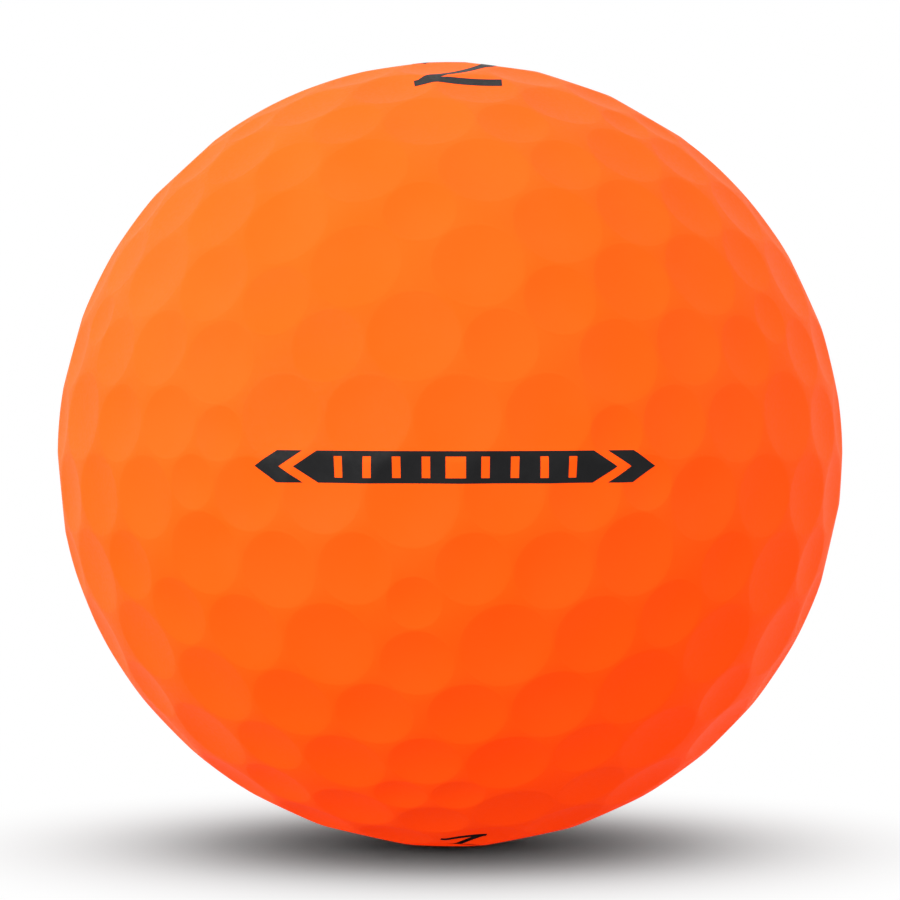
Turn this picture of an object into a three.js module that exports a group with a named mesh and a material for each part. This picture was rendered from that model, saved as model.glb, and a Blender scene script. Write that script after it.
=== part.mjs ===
// A dimpled two-piece golf ball: a solid rubber core inside a moulded cover. The cover is modelled as the
// two halves it is moulded in, which meet on a wavy parting line that runs on the land between dimples.
// Millimetres, +Z up through the poles, origin at the ball's centre, -Y is the side with the alignment bar.
import * as THREE from "three";
import { ConvexHull } from "three/addons/math/ConvexHull.js";

// Driving dimensions, in millimetres unless the name says degrees.
const BALL_DIAMETER = 42.7; // across the land, just over the 42.67 that the rules ask for
const COVER_THICKNESS = 1.5; // from the land down to the core
const PATTERN_TURN_DEGREES = 25; // longitude of the first four-fold axis above the equator

// Dimple sizes: the diameter on the rim, the depth below the ball's sphere at the middle, and how many
// corners the rim and the ring inside it are given.
const LARGE = { diameter: 4.72, depth: 0.26, rimPoints: 14, ringPoints: 7 };
const MEDIUM = { diameter: 4.36, depth: 0.24, rimPoints: 13, ringPoints: 6 };
const MIDDLE = { diameter: 4.08, depth: 0.225, rimPoints: 12, ringPoints: 6 };
const SMALL = { diameter: 3.8, depth: 0.21, rimPoints: 12, ringPoints: 6 };
const TINY = { diameter: 2.84, depth: 0.16, rimPoints: 9, ringPoints: 0 };
const RING_SHARE = 0.56; // radius of the inner ring, as a share of the rim's

// Height in degrees of a cube's diagonal above its base.
const DIAGONAL = THREE.MathUtils.radToDeg(Math.atan(Math.SQRT1_2));

// The pattern has the full symmetry of a cube. Each family is one dimple in a forty-eighth of the ball,
// at a turn from a four-fold axis and a height over the plane of two such axes, both in degrees.
const FAMILIES = [
  { turn: 0, height: 0, size: SMALL },
  { turn: 11.7, height: 0, size: LARGE },
  { turn: 22.3, height: 5.3, size: SMALL },
  { turn: 26.2, height: 16.1, size: MEDIUM },
  { turn: 33.6, height: 6.4, size: MEDIUM },
  { turn: 38.4, height: 17.2, size: MIDDLE },
  { turn: 41, height: 0, size: TINY },
  { turn: 45, height: 8.3, size: SMALL },
  { turn: 45, height: 26.2, size: SMALL },
  { turn: 45, height: DIAGONAL, size: TINY },
  { turn: 45, height: 49.1, size: LARGE },
  { turn: 45, height: 71.2, size: LARGE },
];

const CORE_FACET = 3.4; // spacing of the corners on the core's surface

const BALL_RADIUS = BALL_DIAMETER / 2;
const CORE_RADIUS = BALL_RADIUS - COVER_THICKNESS;
const SAME_DIRECTION = 1e-6; // two images of one dimple closer than this are the same dimple
const RIM_LIFT = 0.1; // how much a dimple's inside bulges while its corners are being joined up

const COVER_MATERIAL = { color: 0xff5f1c, roughness: 0.5, metalness: 0 };
const CORE_MATERIAL = { color: 0x4c7466, roughness: 0.85, metalness: 0 };

// The three four-fold axes that stand above the equator, a third of a turn apart.
function fourFoldAxes() {
  return [0, 120, 240].map((step) => {
    const longitude = THREE.MathUtils.degToRad(PATTERN_TURN_DEGREES + step);
    const flat = Math.sqrt(2 / 3);
    const up = Math.sqrt(1 / 3);
    return new THREE.Vector3(flat * Math.cos(longitude), flat * Math.sin(longitude), up);
  });
}

// All images of one direction under the swaps and mirrors of a cube, each only once.
function cubeImages([x, y, z]) {
  const orders = [[x, y, z], [x, z, y], [y, x, z], [y, z, x], [z, x, y], [z, y, x]];
  const found = [];
  for (const order of orders) {
    for (let signs = 0; signs < 8; signs += 1) {
      const image = new THREE.Vector3(
        signs & 1 ? -order[0] : order[0],
        signs & 2 ? -order[1] : order[1],
        signs & 4 ? -order[2] : order[2],
      );
      if (!found.some((other) => other.distanceTo(image) < SAME_DIRECTION)) found.push(image);
    }
  }
  return found;
}

// Every dimple of the ball: the direction of its centre, its angular radius, its size and its half.
function makeDimples() {
  const [first, second, third] = fourFoldAxes();
  const axes = new THREE.Matrix4().makeBasis(first, second, third);
  return FAMILIES.flatMap(({ turn, height, size }) => {
    const [lon, lat] = [turn, height].map(THREE.MathUtils.degToRad);
    const seed = [Math.cos(lat) * Math.cos(lon), Math.cos(lat) * Math.sin(lon), Math.sin(lat)];
    return cubeImages(seed).map((image) => {
      const centre = image.applyMatrix4(axes).normalize();
      const radius = Math.asin(size.diameter / 2 / BALL_RADIUS);
      return { centre, radius, size, upper: centre.z > 0 };
    });
  });
}

// How deep a dimple lies under the ball's sphere in a direction: a round bowl that ends at its rim.
function depthIn(dimple, direction) {
  const share = dimple.centre.angleTo(direction) / dimple.radius;
  return share < 1 ? dimple.size.depth * (1 - share * share) : 0;
}

// The ball's outer radius in a direction.
function outerRadius(dimples, direction) {
  return BALL_RADIUS - Math.max(...dimples.map((dimple) => depthIn(dimple, direction)));
}

// Directions evenly spaced on a circle around a dimple's centre.
function ringAround(dimple, radius, count) {
  const east = new THREE.Vector3(-dimple.centre.y, dimple.centre.x, 0);
  if (east.length() < 1e-3) east.set(1, 0, 0);
  east.normalize();
  const north = new THREE.Vector3().crossVectors(dimple.centre, east);
  return Array.from({ length: count }, (_, i) => {
    const turn = (2 * Math.PI * i) / count;
    const side = east.clone().multiplyScalar(Math.cos(turn)).addScaledVector(north, Math.sin(turn));
    return dimple.centre.clone().multiplyScalar(Math.cos(radius)).addScaledVector(side, Math.sin(radius));
  });
}

// Where the rims of two overlapping dimples cross.
function rimCrossings(a, b) {
  const gap = a.centre.angleTo(b.centre);
  if (gap >= a.radius + b.radius || gap <= Math.abs(a.radius - b.radius)) return [];
  const dot = Math.cos(gap);
  const p = (Math.cos(a.radius) - Math.cos(b.radius) * dot) / (1 - dot * dot);
  const q = (Math.cos(b.radius) - Math.cos(a.radius) * dot) / (1 - dot * dot);
  const middle = a.centre.clone().multiplyScalar(p).addScaledVector(b.centre, q);
  const across = new THREE.Vector3().crossVectors(a.centre, b.centre).normalize();
  const reach = Math.sqrt(Math.max(0, 1 - middle.lengthSq()));
  return [1, -1].map((side) => middle.clone().addScaledVector(across, side * reach).normalize());
}

// The corners of the outer surface as directions, with the height at which each is joined up. The rims
// stand on the unit sphere and the insides just above their rim's plane, so that every rim stays an edge.
function outerCorners(dimples) {
  const corners = [];
  const add = (direction, height) => corners.push({ direction, height });
  for (const own of dimples) {
    const near = dimples.filter(
      (other) => other !== own && other.centre.angleTo(own.centre) < 3 * (own.radius + other.radius),
    );
    const clear = (direction, depth) => near.every((other) => depthIn(other, direction) <= depth + 1e-9);
    for (const direction of ringAround(own, own.radius, own.size.rimPoints)) {
      if (clear(direction, 0)) add(direction, 1);
    }
    for (const other of near) {
      if (dimples.indexOf(other) < dimples.indexOf(own)) continue;
      for (const direction of rimCrossings(own, other)) {
        if (near.every((third) => third === other || depthIn(third, direction) < 1e-9)) add(direction, 1);
      }
    }
    const ring = ringAround(own, RING_SHARE * own.radius, own.size.ringPoints);
    for (const direction of [own.centre, ...ring]) {
      const plane = Math.cos(own.radius) / Math.cos(own.centre.angleTo(direction));
      const height = plane + RIM_LIFT * (1 - plane);
      if (clear(direction, depthIn(own, direction))) add(direction, height);
    }
  }
  return corners;
}

// Joins points that surround the origin into triangles of their indices, facing out.
function joinUp(points) {
  const indexOf = new Map(points.map((point, index) => [point, index]));
  return new ConvexHull().setFromPoints(points).faces.map((face) => {
    const edge = face.edge;
    return [edge, edge.next, edge.next.next].map((side) => indexOf.get(side.head().point));
  });
}

// Above zero where the nearest rim belongs to a dimple of the upper half.
function sideOf(dimples, direction) {
  const nearest = (upper) => Math.min(
    ...dimples.filter((d) => d.upper === upper).map((d) => d.centre.angleTo(direction) - d.radius),
  );
  return nearest(false) - nearest(true);
}

// The outer surface as directions and triangles, with each triangle wholly in one half. Triangles that
// reach from one half to the other are cut half-way, and those cuts are the parting line.
function outerSurface(dimples) {
  const corners = outerCorners(dimples);
  const points = corners.map(({ direction, height }) => direction.clone().multiplyScalar(height));
  const directions = corners.map(({ direction }) => direction);
  const sides = directions.map((direction) => sideOf(dimples, direction) > 0);
  const cuts = new Map();
  const cutBetween = (a, b) => {
    const key = Math.min(a, b) + ":" + Math.max(a, b);
    if (!cuts.has(key)) {
      cuts.set(key, directions.length);
      directions.push(directions[a].clone().add(directions[b]).normalize());
    }
    return cuts.get(key);
  };
  const halves = { true: [], false: [] };
  const parting = [];
  for (const triangle of joinUp(points)) {
    const lone = triangle.findIndex(
      (corner, i) => triangle.every((other, j) => i === j || sides[other] !== sides[corner]),
    );
    if (triangle.every((corner) => sides[corner] === sides[triangle[0]])) {
      halves[sides[triangle[0]]].push(triangle);
      continue;
    }
    const [a, b, c] = [0, 1, 2].map((i) => triangle[(lone + i) % 3]);
    const ab = cutBetween(a, b);
    const ac = cutBetween(a, c);
    halves[sides[a]].push([a, ab, ac]);
    halves[sides[b]].push([ab, b, c], [ab, c, ac]);
    parting.push(sides[a] ? [ab, ac] : [ac, ab]);
  }
  return { directions, upper: halves.true, lower: halves.false, parting };
}

// Directions spread evenly over the sphere along a spiral.
function spiral(count) {
  return Array.from({ length: count }, (_, i) => {
    const z = 1 - (2 * i + 1) / count;
    const turn = Math.PI * (1 + Math.sqrt(5)) * i;
    const flat = Math.sqrt(1 - z * z);
    return new THREE.Vector3(flat * Math.cos(turn), flat * Math.sin(turn), z);
  });
}

// The core's surface: the parting line carried straight in, and evenly spread corners away from it.
// Returns its directions and its triangles above and below the parting line.
function innerSurface(line, parting) {
  const spacing = CORE_FACET / CORE_RADIUS;
  const spread = spiral(Math.round((4 * Math.PI) / (0.87 * spacing * spacing)));
  const free = spread.filter((point) => line.every((other) => other.distanceTo(point) > spacing));
  const directions = [...line, ...free];
  const triangles = joinUp(directions);
  const edges = new Map();
  triangles.forEach((triangle, index) => {
    triangle.forEach((corner, i) => edges.set(corner + ":" + triangle[(i + 1) % 3], index));
  });
  const walls = new Set(parting.flatMap(([a, b]) => [a + ":" + b, b + ":" + a]));
  const above = new Set([edges.get(parting[0].join(":"))]);
  for (const index of above) {
    const triangle = triangles[index];
    triangle.forEach((corner, i) => {
      const next = triangle[(i + 1) % 3];
      if (!walls.has(corner + ":" + next)) above.add(edges.get(next + ":" + corner));
    });
  }
  return {
    directions,
    upper: triangles.filter((_, index) => above.has(index)),
    lower: triangles.filter((_, index) => !above.has(index)),
  };
}

// A named mesh from corners and triangles; corners that no triangle uses are left out.
function makeMesh(name, corners, triangles, material) {
  const order = new Map();
  const index = triangles.flat().map((corner) => {
    if (!order.has(corner)) order.set(corner, order.size);
    return order.get(corner);
  });
  const position = [...order.keys()].flatMap((corner) => corners[corner].toArray());
  const geometry = new THREE.BufferGeometry();
  geometry.setAttribute("position", new THREE.Float32BufferAttribute(position, 3));
  geometry.setIndex(index);
  geometry.computeVertexNormals();
  const mesh = new THREE.Mesh(geometry, new THREE.MeshStandardMaterial(material));
  mesh.name = name;
  return mesh;
}

// One half of the cover: dimpled outside, smooth inside, closed along the parting line.
function makeCoverHalf(name, outer, inner, shell, edgeLine) {
  const corners = [...outer.corners, ...inner.corners];
  const innerIndex = (corner) => outer.corners.length + corner;
  const inside = inner.triangles.map(([a, b, c]) => [a, c, b].map(innerIndex));
  const edge = edgeLine.flatMap(({ out: [a, b], in: [p, q] }) => [
    [b, a, innerIndex(p)],
    [b, innerIndex(p), innerIndex(q)],
  ]);
  return makeMesh(name, corners, [...shell, ...edge, ...inside], COVER_MATERIAL);
}

function makeBall() {
  const dimples = makeDimples();
  const outside = outerSurface(dimples);
  const lineCorners = [...new Set(outside.parting.flat())];
  const onLine = new Map(lineCorners.map((corner, index) => [corner, index]));
  const parting = outside.parting.map((pair) => pair.map((corner) => onLine.get(corner)));
  const inside = innerSurface(lineCorners.map((corner) => outside.directions[corner]), parting);

  const outerPoints = outside.directions.map(
    (direction) => direction.clone().multiplyScalar(outerRadius(dimples, direction)),
  );
  const innerPoints = inside.directions.map((direction) => direction.clone().multiplyScalar(CORE_RADIUS));
  const edgeOf = (turned) => outside.parting.map((out, i) => (turned
    ? { out: [...out].reverse(), in: [...parting[i]].reverse() }
    : { out, in: parting[i] }));

  const ball = new THREE.Group();
  ball.name = "golf_ball";
  ball.add(makeMesh("core", innerPoints, [...inside.upper, ...inside.lower], CORE_MATERIAL));
  for (const [name, half, turned] of [["cover_upper", "upper", false], ["cover_lower", "lower", true]]) {
    const inner = { corners: innerPoints, triangles: inside[half] };
    ball.add(makeCoverHalf(name, { corners: outerPoints }, inner, outside[half], edgeOf(turned)));
  }
  return ball;
}

export default makeBall();
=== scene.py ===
"""Looks of a dimpled two-piece golf ball: moulded cover, rubber core and printed marks, on a studio floor."""

import logging
import math
from collections.abc import Iterable, Sequence
from dataclasses import dataclass, field
from enum import Enum
from typing import Any

import bpy
import numpy as np
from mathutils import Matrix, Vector
from mathutils.geometry import delaunay_2d_cdt


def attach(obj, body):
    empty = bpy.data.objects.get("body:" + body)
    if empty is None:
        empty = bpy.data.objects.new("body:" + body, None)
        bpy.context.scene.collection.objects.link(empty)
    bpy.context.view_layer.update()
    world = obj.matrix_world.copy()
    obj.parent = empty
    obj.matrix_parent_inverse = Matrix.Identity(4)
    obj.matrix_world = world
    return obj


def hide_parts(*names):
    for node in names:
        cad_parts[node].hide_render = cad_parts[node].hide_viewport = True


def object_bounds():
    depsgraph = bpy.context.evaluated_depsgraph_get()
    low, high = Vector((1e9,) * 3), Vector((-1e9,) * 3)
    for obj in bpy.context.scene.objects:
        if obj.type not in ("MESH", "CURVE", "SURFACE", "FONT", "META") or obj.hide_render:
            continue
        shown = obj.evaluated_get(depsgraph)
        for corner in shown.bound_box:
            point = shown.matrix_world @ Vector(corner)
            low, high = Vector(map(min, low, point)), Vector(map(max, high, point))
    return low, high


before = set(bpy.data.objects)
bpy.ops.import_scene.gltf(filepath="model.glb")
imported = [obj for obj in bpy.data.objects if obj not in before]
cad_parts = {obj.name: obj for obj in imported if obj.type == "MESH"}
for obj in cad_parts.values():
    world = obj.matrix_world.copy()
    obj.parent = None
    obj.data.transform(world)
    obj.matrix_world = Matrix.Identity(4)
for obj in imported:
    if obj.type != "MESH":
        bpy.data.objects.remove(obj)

LOG = logging.getLogger("golf_ball")
CAD_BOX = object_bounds()
MM = 0.001
HARD_EDGE_DEGREES = 40.0
LAID_FLAT_GAP = 1e-12
OUTLINE_GAP = 1e-6
SHARPEST_MITRE = 0.3
WHITE = (1.0, 1.0, 1.0, 1.0)
BLACK = (0.0, 0.0, 0.0, 1.0)

Colour = tuple[float, float, float, float]
Outline = list[tuple[float, float]]


class Half(Enum):
    """The two halves that the cover is moulded in, by the name of the CAD node of each."""

    UPPER = "cover_upper"
    LOWER = "cover_lower"


class Graph:
    """A node tree under construction, for shaders and for geometry."""

    def __init__(self, tree: bpy.types.NodeTree) -> None:
        """Starts on an empty tree.

        Args:
            tree: the tree to fill.
        """
        self.tree = tree
        tree.nodes.clear()

    def add(self, kind: str, inputs: dict[Any, Any] | None = None, **settings: Any) -> bpy.types.Node:
        """Adds one node.

        Args:
            kind: the node's bl_idname.
            inputs: socket name or number to a value, or to the socket that feeds it.
            settings: the node's own properties.

        Returns:
            The node.
        """
        node = self.tree.nodes.new(kind)
        for key, value in settings.items():
            setattr(node, key, value)
        for key, value in (inputs or {}).items():
            self.feed(node.inputs[key], value)
        return node

    def feed(self, socket: bpy.types.NodeSocket, value: Any) -> None:
        """Links a socket, or sets its constant.

        Args:
            socket: the input to feed.
            value: another node's output, or a constant.
        """
        if isinstance(value, bpy.types.NodeSocket):
            self.tree.links.new(value, socket)
        else:
            socket.default_value = value

    def math(self, operation: str, *values: Any) -> bpy.types.NodeSocket:
        """One step of arithmetic on numbers.

        Args:
            operation: the Math node's operation.
            values: up to three numbers or sockets.

        Returns:
            The result's socket.
        """
        return self.add("ShaderNodeMath", dict(enumerate(values)), operation=operation).outputs[0]

    def vector(self, operation: str, *values: Any) -> bpy.types.NodeSocket:
        """One step of arithmetic on vectors.

        Args:
            operation: the Vector Math node's operation; for SCALE the second value is the number.
            values: vectors or sockets.

        Returns:
            The result's socket.
        """
        slots = (0, 3) if operation == "SCALE" else range(len(values))
        node = self.add("ShaderNodeVectorMath", dict(zip(slots, values)), operation=operation)
        return node.outputs["Value" if operation in {"LENGTH", "DOT_PRODUCT"} else "Vector"]

    def ramp(self, value: Any, start: float, stop: float) -> bpy.types.NodeSocket:
        """A smooth step from 0 to 1.

        Args:
            value: the number to look at.
            start: where the step begins.
            stop: where the step ends.

        Returns:
            The step's socket.
        """
        node = self.add(
            "ShaderNodeMapRange",
            {"Value": value, "From Min": start, "From Max": stop},
            interpolation_type="SMOOTHSTEP",
        )
        return node.outputs["Result"]

    def mix(self, factor: Any, first: Any, second: Any) -> bpy.types.NodeSocket:
        """A blend of two colours.

        Args:
            factor: share of the second colour.
            first: colour or socket.
            second: colour or socket.

        Returns:
            The colour's socket.
        """
        factor_slot, first_slot, second_slot, result_slot = 0, 6, 7, 2
        inputs = {factor_slot: factor, first_slot: first, second_slot: second}
        return self.add("ShaderNodeMix", inputs, data_type="RGBA").outputs[result_slot]


def attribute(graph: Graph, name: str, kind: str = "FLOAT") -> bpy.types.NodeSocket:
    """Reads a named attribute in a geometry tree.

    Args:
        graph: the tree.
        name: the attribute's name.
        kind: its data type.

    Returns:
        The attribute's socket.
    """
    return graph.add("GeometryNodeInputNamedAttribute", {"Name": name}, data_type=kind).outputs[0]


def store(graph: Graph, geometry: Any, name: str, value: Any, kind: str = "FLOAT") -> bpy.types.NodeSocket:
    """Writes a named attribute on points in a geometry tree.

    Args:
        graph: the tree.
        geometry: the geometry's socket.
        name: the attribute's name.
        value: the socket that gives its value.
        kind: its data type.

    Returns:
        The geometry's socket.
    """
    node = graph.add(
        "GeometryNodeStoreNamedAttribute",
        {"Geometry": geometry, "Name": name, "Value": value},
        data_type=kind,
        domain="POINT",
    )
    return node.outputs["Geometry"]


def new_tree(name: str, inputs: Sequence[tuple[str, str]]) -> tuple[Graph, dict[str, bpy.types.NodeSocket]]:
    """Starts a geometry tree with a Geometry output.

    Args:
        name: the tree's name.
        inputs: name and socket type of each input.

    Returns:
        The graph, and its input sockets by name.
    """
    tree = bpy.data.node_groups.new(name, "GeometryNodeTree")
    graph = Graph(tree)
    for label, kind in inputs:
        tree.interface.new_socket(name=label, in_out="INPUT", socket_type=kind)
    tree.interface.new_socket(name="Geometry", in_out="OUTPUT", socket_type="NodeSocketGeometry")
    source = graph.add("NodeGroupInput")
    return graph, {label: source.outputs[label] for label, _ in inputs}


def close_tree(graph: Graph, geometry: Any, material: Any) -> None:
    """Ends a geometry tree with Realize Instances and Set Material.

    Args:
        graph: the tree.
        geometry: the geometry's socket.
        material: the material's socket.
    """
    real = graph.add("GeometryNodeRealizeInstances", {"Geometry": geometry}).outputs[0]
    dressed = graph.add("GeometryNodeSetMaterial", {"Geometry": real, "Material": material}).outputs[0]
    graph.add("NodeGroupOutput", {"Geometry": dressed})


def apply_tree(obj: bpy.types.Object, tree: bpy.types.NodeTree, values: dict[str, Any]) -> bpy.types.Mesh:
    """Runs a geometry tree on an object once and takes the result as a plain mesh.

    Args:
        obj: the object that carries the input mesh. It is removed.
        tree: the geometry tree.
        values: the tree's inputs by name.

    Returns:
        The finished mesh.
    """
    modifier = obj.modifiers.new(tree.name, "NODES")
    modifier.node_group = tree
    for item in tree.interface.items_tree:
        if item.item_type == "SOCKET" and item.in_out == "INPUT" and item.name in values:
            modifier[item.identifier] = values[item.name]
    graph = bpy.context.evaluated_depsgraph_get()
    mesh = bpy.data.meshes.new_from_object(obj.evaluated_get(graph), depsgraph=graph)
    obj.modifiers.remove(modifier)
    source = obj.data
    bpy.data.objects.remove(obj)
    bpy.data.meshes.remove(source)
    return mesh


def read_rows(items: Any, name: str, width: int = 1, kind: type = np.float32) -> np.ndarray:
    """Reads a property of every item of a mesh.

    Args:
        items: the mesh's items.
        name: the property.
        width: how many numbers each item has.
        kind: the numbers' type in the mesh.

    Returns:
        One number, or one row of numbers, for each item.
    """
    values = np.empty(len(items) * width, kind)
    items.foreach_get(name, values)
    if kind is np.float32:
        values = values.astype(float)
    return values if width == 1 else values.reshape(-1, width)


def read_triangles(mesh: bpy.types.Mesh) -> np.ndarray:
    """Works out a mesh's triangles and reads them.

    Args:
        mesh: the mesh.

    Returns:
        Rows of three corners.
    """
    mesh.calc_loop_triangles()
    return read_rows(mesh.loop_triangles, "vertices", 3, np.int32)


def merge_corners(places: np.ndarray, digits: int) -> tuple[np.ndarray, np.ndarray]:
    """Finds corners that share a place.

    Args:
        places: the corners' places in metres.
        digits: how many decimals of a millimetre to compare.

    Returns:
        The first corner at each place, and the number of its place for every corner.
    """
    rounded = np.round(places / MM, digits)
    _, first, merged = np.unique(rounded, axis=0, return_index=True, return_inverse=True)
    return first, merged.reshape(-1)


def smooth(mesh: bpy.types.Mesh) -> None:
    """Shades a mesh smooth, except along its hard edges."""
    mesh.polygons.foreach_set("use_smooth", [True] * len(mesh.polygons))
    mesh.set_sharp_from_angle(angle=math.radians(HARD_EDGE_DEGREES))


def new_object(name: str, mesh: bpy.types.Mesh) -> bpy.types.Object:
    """Puts a mesh in the scene.

    Args:
        name: the object's name.
        mesh: its mesh.

    Returns:
        The object.
    """
    obj = bpy.data.objects.new(name, mesh)
    bpy.context.scene.collection.objects.link(obj)
    return obj


def principled(name: str) -> tuple[bpy.types.Material, Graph, bpy.types.Node]:
    """Starts a material with one Principled BSDF.

    Args:
        name: the material's name.

    Returns:
        The material, its graph and its shader.
    """
    material = bpy.data.materials.new(name)
    material.use_nodes = True
    graph = Graph(material.node_tree)
    shader = graph.add("ShaderNodeBsdfPrincipled")
    graph.add("ShaderNodeOutputMaterial", {"Surface": shader.outputs[0]})
    return material, graph, shader


def grain_group() -> bpy.types.NodeTree:
    """The fine skin of moulded or sprayed surfaces, as one shader group for every finish.

    Returns:
        The group: Vector, Scale (per metre) and Softness in; Mask and Height out.
    """
    name = "moulded_grain"
    fine_times, fine_share = 6.0, 0.4
    mask_low, mask_high = 0.32, 0.68
    if name in bpy.data.node_groups:
        return bpy.data.node_groups[name]
    tree = bpy.data.node_groups.new(name, "ShaderNodeTree")
    graph = Graph(tree)
    tree.interface.new_socket(name="Vector", in_out="INPUT", socket_type="NodeSocketVector")
    for label in ("Scale", "Softness"):
        tree.interface.new_socket(name=label, in_out="INPUT", socket_type="NodeSocketFloat")
    for label in ("Mask", "Height"):
        tree.interface.new_socket(name=label, in_out="OUTPUT", socket_type="NodeSocketFloat")
    source = graph.add("NodeGroupInput").outputs
    broad = graph.add(
        "ShaderNodeTexNoise",
        {
            "Vector": source["Vector"],
            "Scale": source["Scale"],
            "Detail": 3.0,
            "Roughness": source["Softness"],
        },
    )
    finer = graph.math("MULTIPLY", source["Scale"], fine_times)
    fine = graph.add("ShaderNodeTexNoise", {"Vector": source["Vector"], "Scale": finer, "Detail": 2.0})
    height = graph.math("MULTIPLY_ADD", fine.outputs[0], fine_share, broad.outputs[0])
    mask = graph.ramp(broad.outputs[0], mask_low, mask_high)
    graph.add("NodeGroupOutput", {"Mask": mask, "Height": height})
    return tree


@dataclass(frozen=True)
class Finish:
    """A moulded, rubber or printed finish: two close colours blotched together under a fine skin.

    The glow is painted light: an emission that keeps the colour bright where shade falls. The bounce is the
    share of the colour that light keeps once it has bounced off something dull: at 0 the finish gives no tint
    to what stands near it.
    """

    name: str
    colour: Colour
    second: Colour
    rough: tuple[float, float]
    blotch_per_metre: float
    skin_per_metre: float
    skin_height: float
    painted_glow: Colour = BLACK
    painted_glow_strength: float = 0.0
    specular: float = 0.5
    sheen: float = 0.0
    sheen_tint: Colour = WHITE
    bounce: float = 1.0
    bounced: Colour = (0.02, 0.02, 0.02, 1.0)
    blotch_softness: float = 0.5
    skin_softness: float = 0.6

    def material(self) -> bpy.types.Material:
        """Builds the material.

        Returns:
            The material.
        """
        material, graph, shader = principled(self.name)
        place = graph.add("ShaderNodeTexCoord").outputs["Object"]
        blotch, skin = (
            graph.add(
                "ShaderNodeGroup",
                {"Vector": place, "Scale": per_metre, "Softness": softness},
                node_tree=grain_group(),
            ).outputs
            for per_metre, softness in (
                (self.blotch_per_metre, self.blotch_softness),
                (self.skin_per_metre, self.skin_softness),
            )
        )
        dull = graph.add("ShaderNodeLightPath").outputs["Is Diffuse Ray"]
        lost = graph.math("MULTIPLY", dull, 1.0 - self.bounce)
        colour = graph.mix(blotch["Mask"], self.colour, self.second)
        graph.feed(shader.inputs["Base Color"], graph.mix(lost, colour, self.bounced))
        # The glow is painted light: an emission that keeps the colour bright where shade falls.
        if self.painted_glow_strength:
            graph.feed(shader.inputs["Emission Color"], graph.mix(lost, self.painted_glow, BLACK))
        low, high = self.rough
        graph.feed(shader.inputs["Roughness"], graph.math("MULTIPLY_ADD", skin["Mask"], high - low, low))
        bump = graph.add("ShaderNodeBump", {"Height": skin["Height"], "Distance": self.skin_height})
        graph.feed(shader.inputs["Normal"], bump.outputs[0])
        shader.inputs["Emission Strength"].default_value = self.painted_glow_strength
        shader.inputs["Specular IOR Level"].default_value = self.specular
        shader.inputs["Sheen Weight"].default_value = self.sheen
        shader.inputs["Sheen Tint"].default_value = self.sheen_tint
        return material


COVER_FINISH = Finish(
    name="matt_orange_cover",
    colour=(1.0, 0.182, 0.008, 1.0),
    second=(1.0, 0.194, 0.012, 1.0),
    rough=(0.52, 0.62),
    blotch_per_metre=180.0,
    skin_per_metre=5200.0,
    skin_height=0.000004,
    # Painted light: an orange emission that keeps the cover bright on its shaded sides and bottom.
    painted_glow=(1.0, 0.0327, 0.0009, 1.0),
    painted_glow_strength=0.86,
    specular=0.1,
    sheen=0.03,
    sheen_tint=(1.0, 0.72, 0.6, 1.0),
    bounce=0.0,
)
CORE_FINISH = Finish(
    name="moulded_rubber_core",
    colour=(0.07, 0.17, 0.135, 1.0),
    second=(0.09, 0.2, 0.15, 1.0),
    rough=(0.7, 0.88),
    blotch_per_metre=260.0,
    skin_per_metre=2600.0,
    skin_height=0.00002,
)
INK_FINISH = Finish(
    name="printed_dark_ink",
    colour=(0.012, 0.012, 0.013, 1.0),
    second=(0.017, 0.017, 0.018, 1.0),
    rough=(0.5, 0.6),
    blotch_per_metre=900.0,
    skin_per_metre=5200.0,
    skin_height=0.000003,
    specular=0.15,
)


@dataclass
class DimplePattern:
    """Where every dimple of the cover is, as the CAD cover has it. Lengths in metres, angles in radians."""

    centres: np.ndarray
    rims: np.ndarray
    depths: np.ndarray
    ball_radius: float
    core_radius: float

    @classmethod
    def from_frame(cls) -> "DimplePattern":
        """Finds the dimples on the CAD cover: each is a corner that lies deeper than all its neighbours.

        Returns:
            The pattern.
        """
        land_depth, least_dip = 0.002 * MM, 0.01 * MM
        centres, depths, rims = [], [], []
        corners = {half: cls._corners(half) for half in Half}
        every = np.concatenate([places for places, _ in corners.values()])
        heights = np.linalg.norm(every, axis=1)
        ball, core = float(heights.max()), float(heights.min())
        land = every[heights > ball - land_depth]
        land = land / np.linalg.norm(land, axis=1, keepdims=True)
        for places, faces in corners.values():
            height = np.linalg.norm(places, axis=1)
            lowest = np.full(len(places), np.inf)
            for a, b in ((0, 1), (1, 2), (2, 0)):
                np.minimum.at(lowest, faces[:, a], height[faces[:, b]])
                np.minimum.at(lowest, faces[:, b], height[faces[:, a]])
            outer = height > (ball + core) / 2
            for corner in np.nonzero(outer & (height < lowest - least_dip))[0]:
                centre = places[corner] / height[corner]
                centres.append(centre)
                depths.append(ball - height[corner])
                rims.append(math.acos(float(np.clip(land @ centre, -1.0, 1.0).max())))
        return cls(np.array(centres), np.array(rims), np.array(depths), ball, core)

    @staticmethod
    def _corners(half: Half) -> tuple[np.ndarray, np.ndarray]:
        """The corners and triangles of a CAD node, with corners that share a place made one.

        Args:
            half: the half of the cover.

        Returns:
            Places, and triangles as rows of three corners.
        """
        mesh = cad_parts[half.value].data
        places = read_rows(mesh.vertices, "co", 3)
        first, merged = merge_corners(places, 4)
        return places[first], merged[read_triangles(mesh)]


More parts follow.
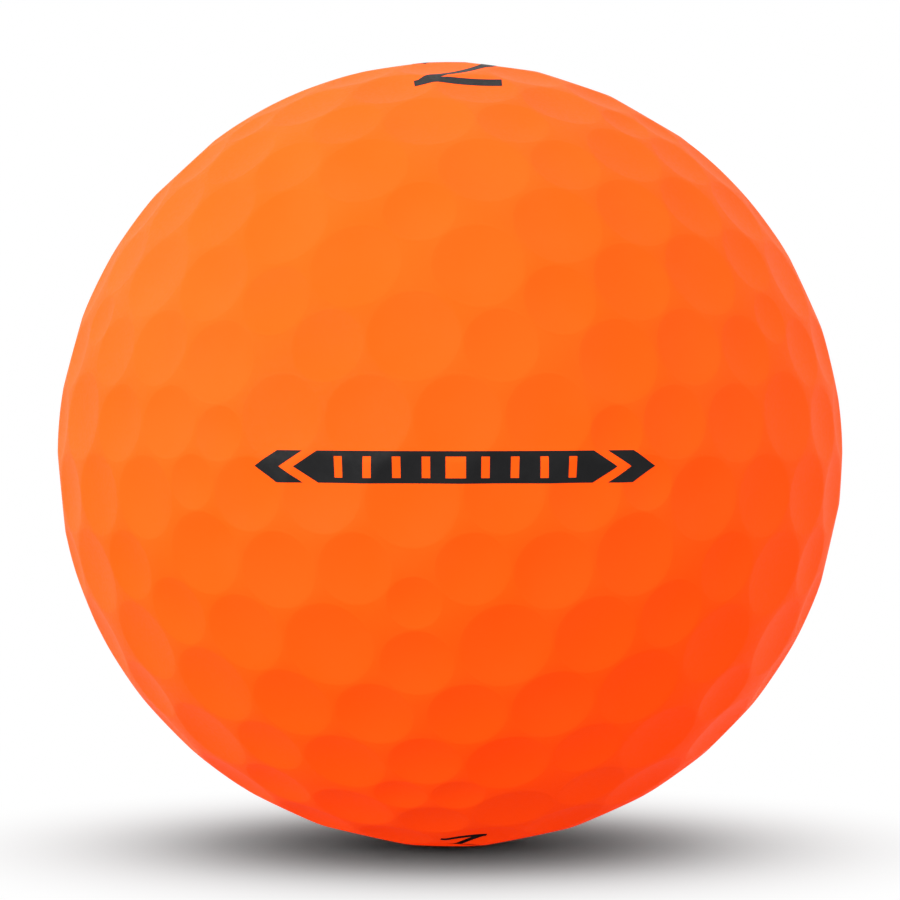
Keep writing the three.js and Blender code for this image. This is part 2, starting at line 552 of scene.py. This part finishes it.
@dataclass
class Cover:
    """The moulded cover: a dimpled skin over the core, in the two halves that it is moulded in.

    A dimple has so many spokes and rings of faces. Its shoulder is how softly it leaves the land, from 0 up.
    """

    pattern: DimplePattern
    spokes: int = 52
    rings: int = 7
    shoulder: float = 0.07
    inside_rings: int = 5
    surface: bpy.types.Object | None = field(default=None, init=False)

    def build(self) -> list[bpy.types.Object]:
        """Makes both halves and the whole outer surface that marks are printed on.

        Returns:
            The two halves.
        """
        material = COVER_FINISH.material()
        places, faces, upper = self._outer_surface(self._bowls(material))
        whole = bpy.data.meshes.new("print_surface")
        whole.from_pydata(places.tolist(), [], faces.tolist())
        self.surface = new_object("print_surface", whole)
        pieces = []
        for half in Half:
            name = half.value.replace("cover", "moulded_cover")
            obj = new_object(name, self._half_mesh(name, places, faces, upper, half, material))
            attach(obj, "root")
            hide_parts(half.value)
            pieces.append(obj)
        return pieces

    def drop_surface(self) -> None:
        """Removes the surface that the marks were printed on."""
        mesh = self.surface.data
        bpy.data.objects.remove(self.surface)
        bpy.data.meshes.remove(mesh)
        self.surface = None

    def _bowls(self, material: bpy.types.Material) -> bpy.types.Mesh:
        """All the bowls, made by the dimple tree from the dimples' centres.

        Args:
            material: the cover's material.

        Returns:
            The bowls' mesh, with each corner's dimple number and whether it is in the upper half.
        """
        pattern = self.pattern
        seeds = bpy.data.meshes.new("dimple_centres")
        seeds.from_pydata(pattern.centres.tolist(), [], [])
        columns = {
            "rim": pattern.rims,
            "depth": pattern.depths,
            "upper": (pattern.centres[:, 2] > 0).astype(float),
            "number": np.arange(len(pattern.rims), dtype=float),
        }
        for name, values in columns.items():
            column = seeds.attributes.new(name, "FLOAT", "POINT").data
            column.foreach_set("value", values.astype(np.float32))
        values = {
            "Ball Radius": pattern.ball_radius,
            "Spokes": self.spokes,
            "Rings": self.rings,
            "Shoulder": self.shoulder,
            "Material": material,
        }
        return apply_tree(new_object("dimple_centres", seeds), self._dimple_tree(), values)

    @staticmethod
    def _dimple_tree() -> bpy.types.NodeTree:
        """The rule of the cover: a bowl with a soft shoulder at every centre.

        Returns:
            The geometry tree.
        """
        graph, given = new_tree(
            "dimpled_skin",
            (
                ("Geometry", "NodeSocketGeometry"),
                ("Ball Radius", "NodeSocketFloat"),
                ("Spokes", "NodeSocketInt"),
                ("Rings", "NodeSocketInt"),
                ("Shoulder", "NodeSocketFloat"),
                ("Material", "NodeSocketMaterial"),
            ),
        )
        place = graph.add("GeometryNodeInputPosition").outputs[0]
        seeds = store(graph, given["Geometry"], "centre", place, "FLOAT_VECTOR")
        disc = graph.add(
            "GeometryNodeMeshCone",
            {
                "Vertices": given["Spokes"],
                "Side Segments": given["Rings"],
                "Radius Top": 0.0,
                "Radius Bottom": 1.0,
                "Depth": 1.0,
            },
            fill_type="NONE",
        ).outputs["Mesh"]
        flat = graph.vector("MULTIPLY", place, (1.0, 1.0, 0.0))
        disc = graph.add("GeometryNodeSetPosition", {"Geometry": disc, "Position": flat}).outputs[0]
        centre = attribute(graph, "centre", "FLOAT_VECTOR")
        turned = graph.add("FunctionNodeAlignRotationToVector", {"Vector": centre}, axis="Z").outputs[0]
        discs = graph.add(
            "GeometryNodeInstanceOnPoints", {"Points": seeds, "Instance": disc, "Rotation": turned}
        ).outputs[0]
        bowls = graph.add("GeometryNodeRealizeInstances", {"Geometry": discs}).outputs[0]

        arm = graph.vector("SUBTRACT", place, centre)
        reach = graph.math("SINE", graph.math("MULTIPLY", graph.vector("LENGTH", arm), math.pi / 2))
        turn = graph.math("MULTIPLY", reach, attribute(graph, "rim"))
        along = graph.vector("SCALE", centre, graph.math("COSINE", turn))
        aside = graph.vector("SCALE", graph.vector("NORMALIZE", arm), graph.math("SINE", turn))
        direction = graph.vector("NORMALIZE", graph.vector("ADD", along, aside))
        inside = graph.math("SUBTRACT", 1.0, graph.math("MULTIPLY", reach, reach))
        soft = graph.math("ADD", inside, given["Shoulder"])
        bowl = graph.math("DIVIDE", graph.math("MULTIPLY", inside, inside), soft)
        bowl = graph.math("MULTIPLY", bowl, graph.math("ADD", 1.0, given["Shoulder"]))
        sunk = graph.math("MULTIPLY", bowl, attribute(graph, "depth"))
        radius = graph.math("SUBTRACT", given["Ball Radius"], sunk)
        pressed = graph.vector("SCALE", direction, radius)
        bowls = graph.add("GeometryNodeSetPosition", {"Geometry": bowls, "Position": pressed}).outputs[0]

        close_tree(graph, bowls, given["Material"])
        return graph.tree

    def _outer_surface(self, bowls: bpy.types.Mesh) -> tuple[np.ndarray, np.ndarray, np.ndarray]:
        """The whole outer surface: the bowls, and the land between their rims, facing outwards.

        Args:
            bowls: the bowls' mesh. It is removed.

        Returns:
            Places, triangles, and whether each corner is in the upper half.
        """
        places = read_rows(bowls.vertices, "co", 3)
        first, merged = merge_corners(places, 5)
        places = places[first]
        number = read_rows(bowls.attributes["number"].data, "value")[first]
        upper = read_rows(bowls.attributes["upper"].data, "value")[first]
        faces = merged[read_triangles(bowls)]
        faces = faces[(faces != np.roll(faces, 1, axis=1)).all(axis=1)]
        bpy.data.meshes.remove(bowls)
        faces = np.concatenate([faces, self._land(places, faces, number)])
        a, b, c = (places[faces[:, i]] for i in range(3))
        inward = np.einsum("ij,ij->i", np.cross(b - a, c - a), a + b + c) < 0
        faces[inward] = faces[inward][:, ::-1]
        return places, faces, upper > 0.5

    @staticmethod
    def _land(places: np.ndarray, faces: np.ndarray, number: np.ndarray) -> np.ndarray:
        """Triangles that fill the land, with every side of every rim kept.

        The ball is laid flat from the middle of its lowest dimple, which keeps circles round, so the flat
        triangles with the emptiest circles are also the ones that lie closest to the ball.

        Args:
            places: corners of the bowls.
            faces: their triangles.
            number: the dimple that each corner belongs to.

        Returns:
            The land's triangles.
        """
        sides = np.sort(np.concatenate([faces[:, [0, 1]], faces[:, [1, 2]], faces[:, [2, 0]]]), axis=1)
        sides, times = np.unique(sides, axis=0, return_counts=True)
        rims = sides[times == 1]
        used, ends = np.unique(rims, return_inverse=True)
        way = places[used] / np.linalg.norm(places[used], axis=1, keepdims=True)
        points = [Vector(point) for point in (way[:, :2] / (1.0 + way[:, 2:3])).tolist()]
        _, _, made, given, *_ = delaunay_2d_cdt(points, ends.reshape(-1, 2).tolist(), [], 0, LAID_FLAT_GAP)
        land = used[np.array([[given[corner][0] for corner in face] for face in made])]
        owner = number[land]
        return land[(owner != owner[:, :1]).any(axis=1)]

    def _half_mesh(
        self,
        name: str,
        places: np.ndarray,
        faces: np.ndarray,
        upper: np.ndarray,
        half: Half,
        material: bpy.types.Material,
    ) -> bpy.types.Mesh:
        """One closed half of the cover, cut from the outer surface along the parting line.

        Args:
            name: the mesh's name.
            places: the outer surface's corners.
            faces: its triangles.
            upper: whether each corner is in the upper half.
            half: the half to make.
            material: the cover's material.

        Returns:
            The half's mesh.
        """
        mine = upper == (half is Half.UPPER)
        count = mine[faces].sum(axis=1)
        triangles = faces[count == 3].tolist()
        extra: list[np.ndarray] = []
        cuts: dict[tuple[int, int], int] = {}

        def cut(a: int, b: int) -> int:
            """Finds or makes the corner half-way along an edge that crosses the parting line.

            Args:
                a: one end of the edge.
                b: its other end.

            Returns:
                The corner's number.
            """
            key = (min(a, b), max(a, b))
            if key not in cuts:
                middle = places[a] + places[b]
                cuts[key] = len(places) + len(extra)
                extra.append(middle / np.linalg.norm(middle) * self.pattern.ball_radius)
            return cuts[key]

        line: dict[int, int] = {}
        for triangle in faces[(count == 1) | (count == 2)]:
            inside = mine[triangle]
            lone = int(np.nonzero(inside == (inside.sum() == 1))[0][0])
            a, b, c = (int(triangle[(lone + step) % 3]) for step in range(3))
            ab, ac = cut(a, b), cut(a, c)
            if mine[a]:
                triangles.append([a, ab, ac])
                line[ab] = ac
            else:
                triangles += [[ab, b, c], [ab, c, ac]]
                line[ac] = ab
        loop = [next(iter(line))]
        while len(loop) < len(line):
            loop.append(line[loop[-1]])
        outside = np.concatenate([places, np.array(extra)])
        inside_places = self._inside_places(outside[loop], half)
        walls = self._inside(loop, len(outside))
        return self._finish_mesh(name, np.concatenate([outside, inside_places]), triangles + walls, material)

    def _inside(self, loop: list[int], start: int) -> list[list[int]]:
        """The smooth inside of a half, as rings that climb from the parting line to the pole.

        Args:
            loop: the parting line's corners on the outside.
            start: the number that the first inside corner takes.

        Returns:
            The faces across the parting line and up the inside.
        """
        size = len(loop)
        rings = [[start + ring * size + i for i in range(size)] for ring in range(self.inside_rings)]
        walls: list[list[int]] = []
        for low, high in zip([loop, *rings], rings):
            walls += self._strip(low, high)
        pole = start + self.inside_rings * size
        last = rings[-1]
        return walls + [[last[(i + 1) % size], last[i], pole] for i in range(size)]

    @staticmethod
    def _strip(low: list[int], high: list[int]) -> list[list[int]]:
        """Faces between two closed rows of corners of the same length.

        Args:
            low: the first row.
            high: the second row.

        Returns:
            Four-sided faces.
        """
        size = len(low)
        return [[low[(i + 1) % size], low[i], high[i], high[(i + 1) % size]] for i in range(size)]

    def _inside_places(self, edge: np.ndarray, half: Half) -> np.ndarray:
        """Places of the inside's corners: the parting line carried in, then rings up to the pole.

        Args:
            edge: the parting line's corners.
            half: which half it is.

        Returns:
            The places, ring by ring, with the pole last.
        """
        direction = edge / np.linalg.norm(edge, axis=1, keepdims=True)
        turn = np.arctan2(direction[:, 1], direction[:, 0])
        height = np.arcsin(direction[:, 2])
        top = math.pi / 2 if half is Half.UPPER else -math.pi / 2
        rows = []
        for ring in range(self.inside_rings):
            lift = height + (top - height) * ring / self.inside_rings
            rows.append(
                np.stack([np.cos(lift) * np.cos(turn), np.cos(lift) * np.sin(turn), np.sin(lift)], axis=1)
            )
        rows.append(np.array([[0.0, 0.0, math.copysign(1.0, top)]]))
        return np.concatenate(rows) * self.pattern.core_radius

    @staticmethod
    def _finish_mesh(
        name: str, places: np.ndarray, faces: list[list[int]], material: bpy.types.Material
    ) -> bpy.types.Mesh:
        """Puts a half's faces together, smooth outside and inside and sharp along the parting line.

        Args:
            name: the mesh's name.
            places: all corners, used or not.
            faces: the half's faces.
            material: the cover's material.

        Returns:
            The mesh.
        """
        used = sorted({corner for face in faces for corner in face})
        order = {old: new for new, old in enumerate(used)}
        mesh = bpy.data.meshes.new(name)
        mesh.from_pydata(places[used].tolist(), [], [[order[corner] for corner in face] for face in faces])
        mesh.materials.append(material)
        smooth(mesh)
        mesh.update()
        return mesh


@dataclass(frozen=True)
class MarkPlace:
    """Where a printed mark lies on the ball: degrees round from +X, degrees up, and which way up it is."""

    longitude: float
    latitude: float
    upside_down: bool = False

    def axes(self) -> tuple[Vector, Vector]:
        """Works out which way the mark faces.

        Returns:
            The outward direction at the mark's middle, and the mark's own up direction.
        """
        lon, lat = math.radians(self.longitude), math.radians(self.latitude)
        out = Vector((math.cos(lat) * math.cos(lon), math.cos(lat) * math.sin(lon), math.sin(lat)))
        up = Vector((-math.sin(lat) * math.cos(lon), -math.sin(lat) * math.sin(lon), math.cos(lat)))
        return out, -up if self.upside_down else up


@dataclass
class PrintedMark:
    """A mark pad-printed on the cover: flat outlines in millimetres, laid over the dimples as a thin film.

    The step is the size of the film's faces. The film stands proud of the cover, and its back is sunk in it.
    """

    name: str
    place: MarkPlace
    outlines: list[Outline]
    holes: list[Outline] = field(default_factory=list)
    step: float = 0.14
    clear_share: float = 0.4
    proud: float = 0.012
    sunk: float = 0.02

    def build(
        self, surface: bpy.types.Object, tree: bpy.types.NodeTree, ink: bpy.types.Material
    ) -> bpy.types.Object:
        """Makes the film on the ball's surface.

        Args:
            surface: the whole outer surface.
            tree: the rule of printing.
            ink: the ink's material.

        Returns:
            The film.
        """
        flat = self._flat_mesh()
        out, up = self.place.axes()
        values = {
            "Surface": surface,
            "Outward": tuple(out),
            "Up": tuple(up),
            "Ball Radius": max(v.co.length for v in surface.data.vertices),
            "Proud": self.proud * MM,
            "Sunk": self.sunk * MM,
            "Material": ink,
        }
        mesh = apply_tree(new_object(self.name, flat), tree, values)
        mesh.name = self.name
        smooth(mesh)
        obj = new_object(self.name, mesh)
        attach(obj, "root")
        return obj

    def _flat_mesh(self) -> bpy.types.Mesh:
        """The mark as a flat closed slab, its top layer at height 1 and its bottom layer at -1.

        Returns:
            The slab's mesh, with x and y in metres.
        """
        corners: list[tuple[float, float]] = []
        edges: list[tuple[int, int]] = []
        for outline in self.outlines + self.holes:
            start = len(corners)
            corners += self._fine(outline)
            size = len(corners) - start
            edges += [(start + i, start + (i + 1) % size) for i in range(size)]
        low = np.array(corners).min(axis=0)
        high = np.array(corners).max(axis=0)
        for x in np.arange(low[0], high[0], self.step):
            for y in np.arange(low[1], high[1], self.step):
                if self._clear((float(x), float(y))):
                    corners.append((float(x), float(y)))
        points, made, faces, _, origins, _ = delaunay_2d_cdt(
            [Vector(corner) for corner in corners], edges, [], 0, OUTLINE_GAP
        )
        fences = {tuple(sorted(side)) for side, origin in zip(made, origins) if origin}
        kept = []
        for region in fenced_regions(faces, fences):
            areas = {face: flat_area(points, face) for face in region}
            widest = max(areas, key=lambda face: abs(areas[face]))
            middle = sum((points[i] for i in widest), Vector((0.0, 0.0))) / len(widest)
            if self._inside((middle.x, middle.y)):
                kept += [face if areas[face] > 0 else face[::-1] for face in region]
        size = len(points)
        sides: set[tuple[int, int]] = set()
        for face in kept:
            for i in range(3):
                side = (face[i], face[(i + 1) % 3])
                if side[::-1] in sides:
                    sides.remove(side[::-1])
                else:
                    sides.add(side)
        slab = [list(face) for face in kept]
        slab += [[i + size for i in reversed(face)] for face in kept]
        slab += [[b, a, a + size, b + size] for a, b in sorted(sides)]
        mesh = bpy.data.meshes.new(self.name)
        layers = [(p.x * MM, p.y * MM, 1.0) for p in points] + [(p.x * MM, p.y * MM, -1.0) for p in points]
        used = sorted({i for face in slab for i in face})
        order = {old: new for new, old in enumerate(used)}
        mesh.from_pydata([layers[i] for i in used], [], [[order[i] for i in face] for face in slab])
        return mesh

    def _fine(self, outline: Outline) -> Outline:
        """Splits an outline's sides to about the film's step.

        Args:
            outline: the outline.

        Returns:
            The same outline with more corners.
        """
        fine: Outline = []
        for (x0, y0), (x1, y1) in zip(outline, outline[1:] + outline[:1]):
            parts = max(1, round(math.hypot(x1 - x0, y1 - y0) / self.step))
            fine += [(x0 + (x1 - x0) * i / parts, y0 + (y1 - y0) * i / parts) for i in range(parts)]
        return fine

    def _inside(self, point: tuple[float, float]) -> bool:
        """Whether a flat point is printed."""
        return any(within(point, o) for o in self.outlines) and not any(within(point, o) for o in self.holes)

    def _clear(self, point: tuple[float, float]) -> bool:
        """Whether a flat point is printed and well away from every outline.

        Args:
            point: the point.

        Returns:
            True where the film can have a corner of its own.
        """
        if not self._inside(point):
            return False
        x, y = point
        gap = self.clear_share * self.step
        return all(self._inside((x + dx, y + dy)) for dx in (-gap, 0.0, gap) for dy in (-gap, 0.0, gap))


def flat_area(points: Sequence[Vector], face: Sequence[int]) -> float:
    """Twice the area of a flat triangle, below 0 if it turns clockwise.

    Args:
        points: flat points.
        face: the triangle's corners.

    Returns:
        The signed area.
    """
    a, b, c = (points[i] for i in face)
    return (b - a).cross(c - a)


def fenced_regions(
    faces: Iterable[Sequence[int]], fences: set[tuple[int, ...]]
) -> list[list[tuple[int, ...]]]:
    """Groups triangles that are joined across sides that no fence runs along.

    Args:
        faces: the triangles.
        fences: the sides that part regions, each with its lower corner first.

    Returns:
        The triangles of each region.
    """
    beside: dict[tuple[int, ...], list[tuple[int, ...]]] = {}
    for face in map(tuple, faces):
        for i in range(3):
            beside.setdefault(tuple(sorted((face[i], face[(i + 1) % 3]))), []).append(face)
    left = {face for pair in beside.values() for face in pair}
    regions = []
    while left:
        region, queue = [], [left.pop()]
        while queue:
            face = queue.pop()
            region.append(face)
            for i in range(3):
                side = tuple(sorted((face[i], face[(i + 1) % 3])))
                for other in [] if side in fences else beside[side]:
                    if other in left:
                        left.discard(other)
                        queue.append(other)
        regions.append(sorted(region))
    return sorted(regions)


def within(point: tuple[float, float], outline: Outline) -> bool:
    """Whether a point lies inside a closed outline.

    Args:
        point: the point.
        outline: the outline's corners in order.

    Returns:
        True inside.
    """
    x, y = point
    inside = False
    for (x0, y0), (x1, y1) in zip(outline, outline[1:] + outline[:1]):
        if (y0 > y) != (y1 > y) and x < x0 + (y - y0) * (x1 - x0) / (y1 - y0):
            inside = not inside
    return inside


def print_tree() -> bpy.types.NodeTree:
    """The rule of printing: wraps a flat slab round the ball and lays it on the surface under it.

    Returns:
        The geometry tree.
    """
    graph, given = new_tree(
        "printed_film",
        (
            ("Geometry", "NodeSocketGeometry"),
            ("Surface", "NodeSocketObject"),
            ("Outward", "NodeSocketVector"),
            ("Up", "NodeSocketVector"),
            ("Ball Radius", "NodeSocketFloat"),
            ("Proud", "NodeSocketFloat"),
            ("Sunk", "NodeSocketFloat"),
            ("Material", "NodeSocketMaterial"),
        ),
    )
    place = graph.add("GeometryNodeInputPosition").outputs[0]
    flat = graph.add("ShaderNodeSeparateXYZ", {0: place}).outputs
    turn = graph.math("DIVIDE", flat["X"], given["Ball Radius"])
    lift = graph.math("DIVIDE", flat["Y"], given["Ball Radius"])
    right = graph.vector("CROSS_PRODUCT", given["Up"], given["Outward"])
    ahead = graph.vector("SCALE", given["Outward"], graph.math("COSINE", turn))
    aside = graph.vector("SCALE", right, graph.math("SINE", turn))
    level = graph.vector("SCALE", graph.vector("ADD", ahead, aside), graph.math("COSINE", lift))
    above = graph.vector("SCALE", given["Up"], graph.math("SINE", lift))
    direction = graph.vector("NORMALIZE", graph.vector("ADD", level, above))
    start_share = 1.2
    far = graph.math("MULTIPLY", given["Ball Radius"], start_share)
    target = graph.add("GeometryNodeObjectInfo", {"Object": given["Surface"]}).outputs["Geometry"]
    ray = graph.add(
        "GeometryNodeRaycast",
        {
            "Target Geometry": target,
            "Source Position": graph.vector("SCALE", direction, far),
            "Ray Direction": graph.vector("SCALE", direction, -1.0),
            "Ray Length": far,
        },
    )
    top = graph.math("GREATER_THAN", flat["Z"], 0.0)
    rise = graph.math("MULTIPLY", top, graph.math("ADD", given["Proud"], given["Sunk"]))
    offset = graph.vector("SCALE", direction, graph.math("SUBTRACT", rise, given["Sunk"]))
    laid = graph.vector("ADD", ray.outputs["Hit Position"], offset)
    film = graph.add("GeometryNodeSetPosition", {"Geometry": given["Geometry"], "Position": laid}).outputs[0]
    close_tree(graph, film, given["Material"])
    return graph.tree


def box_outline(x: float, y: float, width: float, height: float) -> Outline:
    """A rectangle around a middle point.

    Args:
        x: middle across.
        y: middle up.
        width: full width.
        height: full height.

    Returns:
        The outline.
    """
    w, h = width / 2, height / 2
    return [(x - w, y - h), (x + w, y - h), (x + w, y + h), (x - w, y + h)]


@dataclass(frozen=True)
class AlignmentBar:
    """A dark bar with pointed ends and a chevron beyond each, cut by a plain scale of ticks. Millimetres."""

    height: float = 1.6
    straight: float = 6.92
    point: float = 1.26
    gap: float = 0.78
    chevron: float = 1.38
    tick_width: float = 0.42
    tick_height: float = 1.06
    tick_step: float = 1.46
    tick_count: int = 9
    middle_width: float = 1.0

    def outlines(self) -> list[Outline]:
        """Draws the bar and its two chevrons.

        Returns:
            Their outlines around the bar's middle.
        """
        h, end, point = self.height / 2, self.straight, self.point
        bar = [(-end, -h), (end, -h), (end + point, 0.0), (end, h), (-end, h), (-end - point, 0.0)]
        near = end + self.gap
        far = near + self.chevron
        right = [(near, -h), (far, -h), (far + point, 0.0), (far, h), (near, h), (near + point, 0.0)]
        left = [(-x, y) for x, y in reversed(right)]
        return [bar, right, left]

    def ticks(self) -> list[Outline]:
        """Draws the scale that cuts the bar: equal ticks each side of a wider one.

        Returns:
            The ticks' outlines.
        """
        side = self.tick_count // 2
        marks = [box_outline(0.0, 0.0, self.middle_width, self.tick_height)]
        for i in range(1, side + 1):
            for sign in (-1, 1):
                marks.append(box_outline(sign * i * self.tick_step, 0.0, self.tick_width, self.tick_height))
        return marks


def stroke_outline(line: Outline, width: float) -> Outline:
    """The outline of a line drawn with a pen of one width, with mitred corners.

    Args:
        line: the pen's path.
        width: the pen's width.

    Returns:
        The outline, out along one side and back along the other.
    """
    path = [Vector(point) for point in line]
    ways = [(b - a).normalized() for a, b in zip(path, path[1:])]
    sides: tuple[Outline, Outline] = ([], [])
    for i, point in enumerate(path):
        before, after = ways[max(0, i - 1)], ways[min(i, len(ways) - 1)]
        across = Vector((-before.y - after.y, before.x + after.x)).normalized()
        reach = width / 2 / max(SHARPEST_MITRE, across.dot(Vector((-after.y, after.x))))
        for side, sign in zip(sides, (1, -1)):
            place = point + across * reach * sign
            side.append((place.x, place.y))
    return sides[0] + sides[1][::-1]


@dataclass(frozen=True)
class PlainNumeral:
    """A plain figure 2, as a play number: an arc that runs into a slope, and a base. Millimetres, degrees."""

    width: float
    height: float
    stroke: float
    arc_start: float = 165.0
    arc_end: float = -38.0
    arc_parts: int = 26

    def outlines(self) -> list[Outline]:
        """Draws the figure.

        Returns:
            The outlines of its arc and slope and of its base, around its middle.
        """
        pen = self.stroke / 2
        bow = self.width / 2 - pen
        middle = self.height / 2 - pen - bow
        line: Outline = []
        for i in range(self.arc_parts + 1):
            turn = math.radians(self.arc_start + (self.arc_end - self.arc_start) * i / self.arc_parts)
            line.append((bow * math.cos(turn), middle + bow * math.sin(turn)))
        base = -self.height / 2 + pen
        line.append((-bow, base))
        return [stroke_outline(line, self.stroke), box_outline(0.0, base, self.width, self.stroke)]


@dataclass
class Core:
    """The solid rubber core, kept as the CAD solid."""

    node: str = "core"

    def build(self) -> bpy.types.Object:
        """Dresses the CAD solid.

        Returns:
            The core.
        """
        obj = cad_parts[self.node]
        material = CORE_FINISH.material()
        if not obj.material_slots:
            obj.data.materials.append(material)
        for slot in obj.material_slots:
            slot.material = material
        return obj


@dataclass(frozen=True)
class Lamp:
    """A soft lamp that points at the ball: its direction, and how bright it makes a white card there."""

    name: str
    direction: tuple[float, float, float]
    distance: float
    width: float
    height: float
    level: float
    lights_floor: bool = True


@dataclass
class Studio:
    """Pale floor, soft lamps and the camera. Metres, unless a name says otherwise.

    The camera's distance and the two ends of the shadow's fade are in ball radii.
    """

    pieces: list[bpy.types.Object]
    floor_height: float
    ball_radius: float
    distance: float = 9.04
    elevation_degrees: float = 0.57
    aim_height: float = 0.000235
    focal_mm: float = 141.0
    world_level: float = 0.36
    floor_bounce: float = 0.03
    floor_gain: float = 1.72
    floor_reach: float = 2.0
    fade_start: float = 0.35
    fade_stop: float = 1.5
    lamps: tuple[Lamp, ...] = (
        Lamp("top_light", (0.0, 0.0, 1.0), 0.5, 0.6, 0.6, 0.2),
        Lamp("key_light", (-0.64, -0.72, 0.26), 0.6, 0.4, 0.26, 0.45, lights_floor=False),
        Lamp("rim_light", (-0.84, 0.3, 0.46), 0.6, 0.36, 0.36, 0.13, lights_floor=False),
        Lamp("side_light", (0.92, -0.35, 0.13), 0.6, 0.4, 0.22, 0.08, lights_floor=False),
    )

    def build(self) -> None:
        """Makes everything around the ball."""
        self._world()
        self._floor()
        for lamp in self.lamps:
            self._lamp(lamp)
        self._camera()

    def _world(self) -> None:
        """White to the camera and in reflections, and a low plain level of light elsewhere."""
        world = bpy.data.worlds.new("white_room")
        bpy.context.scene.world = world
        world.use_nodes = True
        graph = Graph(world.node_tree)
        seen = self._seen(graph)
        strength = graph.math("MULTIPLY_ADD", seen, 1.0 - self.world_level, self.world_level)
        light = graph.add("ShaderNodeBackground", {"Color": WHITE, "Strength": strength})
        graph.add("ShaderNodeOutputWorld", {"Surface": light.outputs[0]})

    @staticmethod
    def _seen(graph: Graph) -> bpy.types.NodeSocket:
        """Whether a ray comes from the camera or from a reflection or a clear piece.

        Args:
            graph: the tree to read it in.

        Returns:
            The socket, 1 where the background is to show.
        """
        path = graph.add("ShaderNodeLightPath").outputs
        shown = graph.math("MAXIMUM", path["Is Camera Ray"], path["Is Glossy Ray"])
        return graph.math("MAXIMUM", shown, path["Is Transmission Ray"])

    def _floor(self) -> None:
        """A white floor that keeps the ball's shadow near the ball and is plain white beyond it."""
        mesh = bpy.data.meshes.new("studio_floor")
        reach = self.floor_reach
        corners = [(-reach, -reach), (reach, -reach), (reach, reach), (-reach, reach)]
        mesh.from_pydata([(x, y, self.floor_height) for x, y in corners], [], [(0, 1, 2, 3)])
        floor = new_object("studio_floor", mesh)
        material = bpy.data.materials.new("white_floor")
        material.use_nodes = True
        graph = Graph(material.node_tree)
        place = graph.add("ShaderNodeTexCoord").outputs["Object"]
        across = graph.vector("LENGTH", graph.vector("MULTIPLY", place, (1.0, 1.0, 0.0)))
        seen = self._seen(graph)
        away = graph.ramp(across, self.fade_start * self.ball_radius, self.fade_stop * self.ball_radius)
        dim, pale = ((level, level, level, 1.0) for level in (self.floor_bounce, self.floor_gain))
        plain = graph.add("ShaderNodeBsdfDiffuse", {"Color": graph.mix(seen, dim, pale)}).outputs[0]
        white = graph.add("ShaderNodeEmission", {"Color": WHITE, "Strength": 1.0}).outputs[0]
        faded = graph.math("MULTIPLY", seen, away)
        surface = graph.add("ShaderNodeMixShader", {0: faded, 1: plain, 2: white})
        graph.add("ShaderNodeOutputMaterial", {"Surface": surface.outputs[0]})
        mesh.materials.append(material)

    def _lamp(self, lamp: Lamp) -> None:
        """Hangs a lamp.

        Args:
            lamp: the lamp.
        """
        data = bpy.data.lights.new(lamp.name, "AREA")
        data.shape = "RECTANGLE"
        data.size = lamp.width
        data.size_y = lamp.height
        data.energy = lamp.level * 4 * math.pi * lamp.distance**2
        hung = bpy.data.objects.new(lamp.name, data)
        bpy.context.scene.collection.objects.link(hung)
        hung.location = Vector(lamp.direction).normalized() * lamp.distance
        hung.rotation_euler = (-hung.location).to_track_quat("-Z", "Y").to_euler()
        if not lamp.lights_floor:
            lit = bpy.data.collections.new(f"lit_by_{lamp.name}")
            for piece in self.pieces:
                lit.objects.link(piece)
            hung.light_linking.receiver_collection = lit

    def _camera(self) -> None:
        """A long lens, level with the ball's middle."""
        data = bpy.data.cameras.new("camera")
        data.sensor_width = 36.0
        data.lens = self.focal_mm
        data.clip_start = 0.01
        data.clip_end = 20.0
        camera = bpy.data.objects.new("camera", data)
        bpy.context.scene.collection.objects.link(camera)
        lift = math.radians(self.elevation_degrees)
        away = self.distance * self.ball_radius
        camera.location = (0.0, -away * math.cos(lift), away * math.sin(lift))
        aim = Vector((0.0, 0.0, self.aim_height)) - camera.location
        camera.rotation_euler = aim.to_track_quat("-Z", "Y").to_euler()
        bpy.context.scene.camera = camera


def marks() -> list[PrintedMark]:
    """The ball's printed marks.

    Returns:
        The alignment bar and the two play numbers.
    """
    bar = AlignmentBar()
    return [
        PrintedMark("alignment_bar", MarkPlace(-89.25, -1.15), bar.outlines(), bar.ticks()),
        PrintedMark("upper_number", MarkPlace(-87.0, 76.8), PlainNumeral(4.7, 7.6, 0.85).outlines()),
        PrintedMark("lower_number", MarkPlace(-83.5, -77.2, True), PlainNumeral(2.5, 4.1, 0.46).outlines()),
    ]


def report(piece: bpy.types.Object) -> None:
    """Logs a finished piece.

    Args:
        piece: the piece.
    """
    LOG.info("%s: %d corners, %d faces", piece.name, len(piece.data.vertices), len(piece.data.polygons))


def main() -> None:
    """Builds the ball piece by piece, then the studio around it."""
    pattern = DimplePattern.from_frame()
    LOG.info("%d dimples on a ball of %.2f mm", len(pattern.rims), 2 * pattern.ball_radius / MM)
    cover = Cover(pattern)
    pieces = [Core().build(), *cover.build()]
    ink, tree = INK_FINISH.material(), print_tree()
    pieces += [mark.build(cover.surface, tree, ink) for mark in marks()]
    cover.drop_surface()
    for piece in pieces:
        report(piece)
    Studio(pieces, floor_height=CAD_BOX[0][2], ball_radius=pattern.ball_radius).build()
    bpy.context.scene.view_settings.view_transform = "Standard"


if __name__ == "__main__":
    logging.basicConfig(level=logging.INFO, format="%(name)s: %(message)s")
    main()
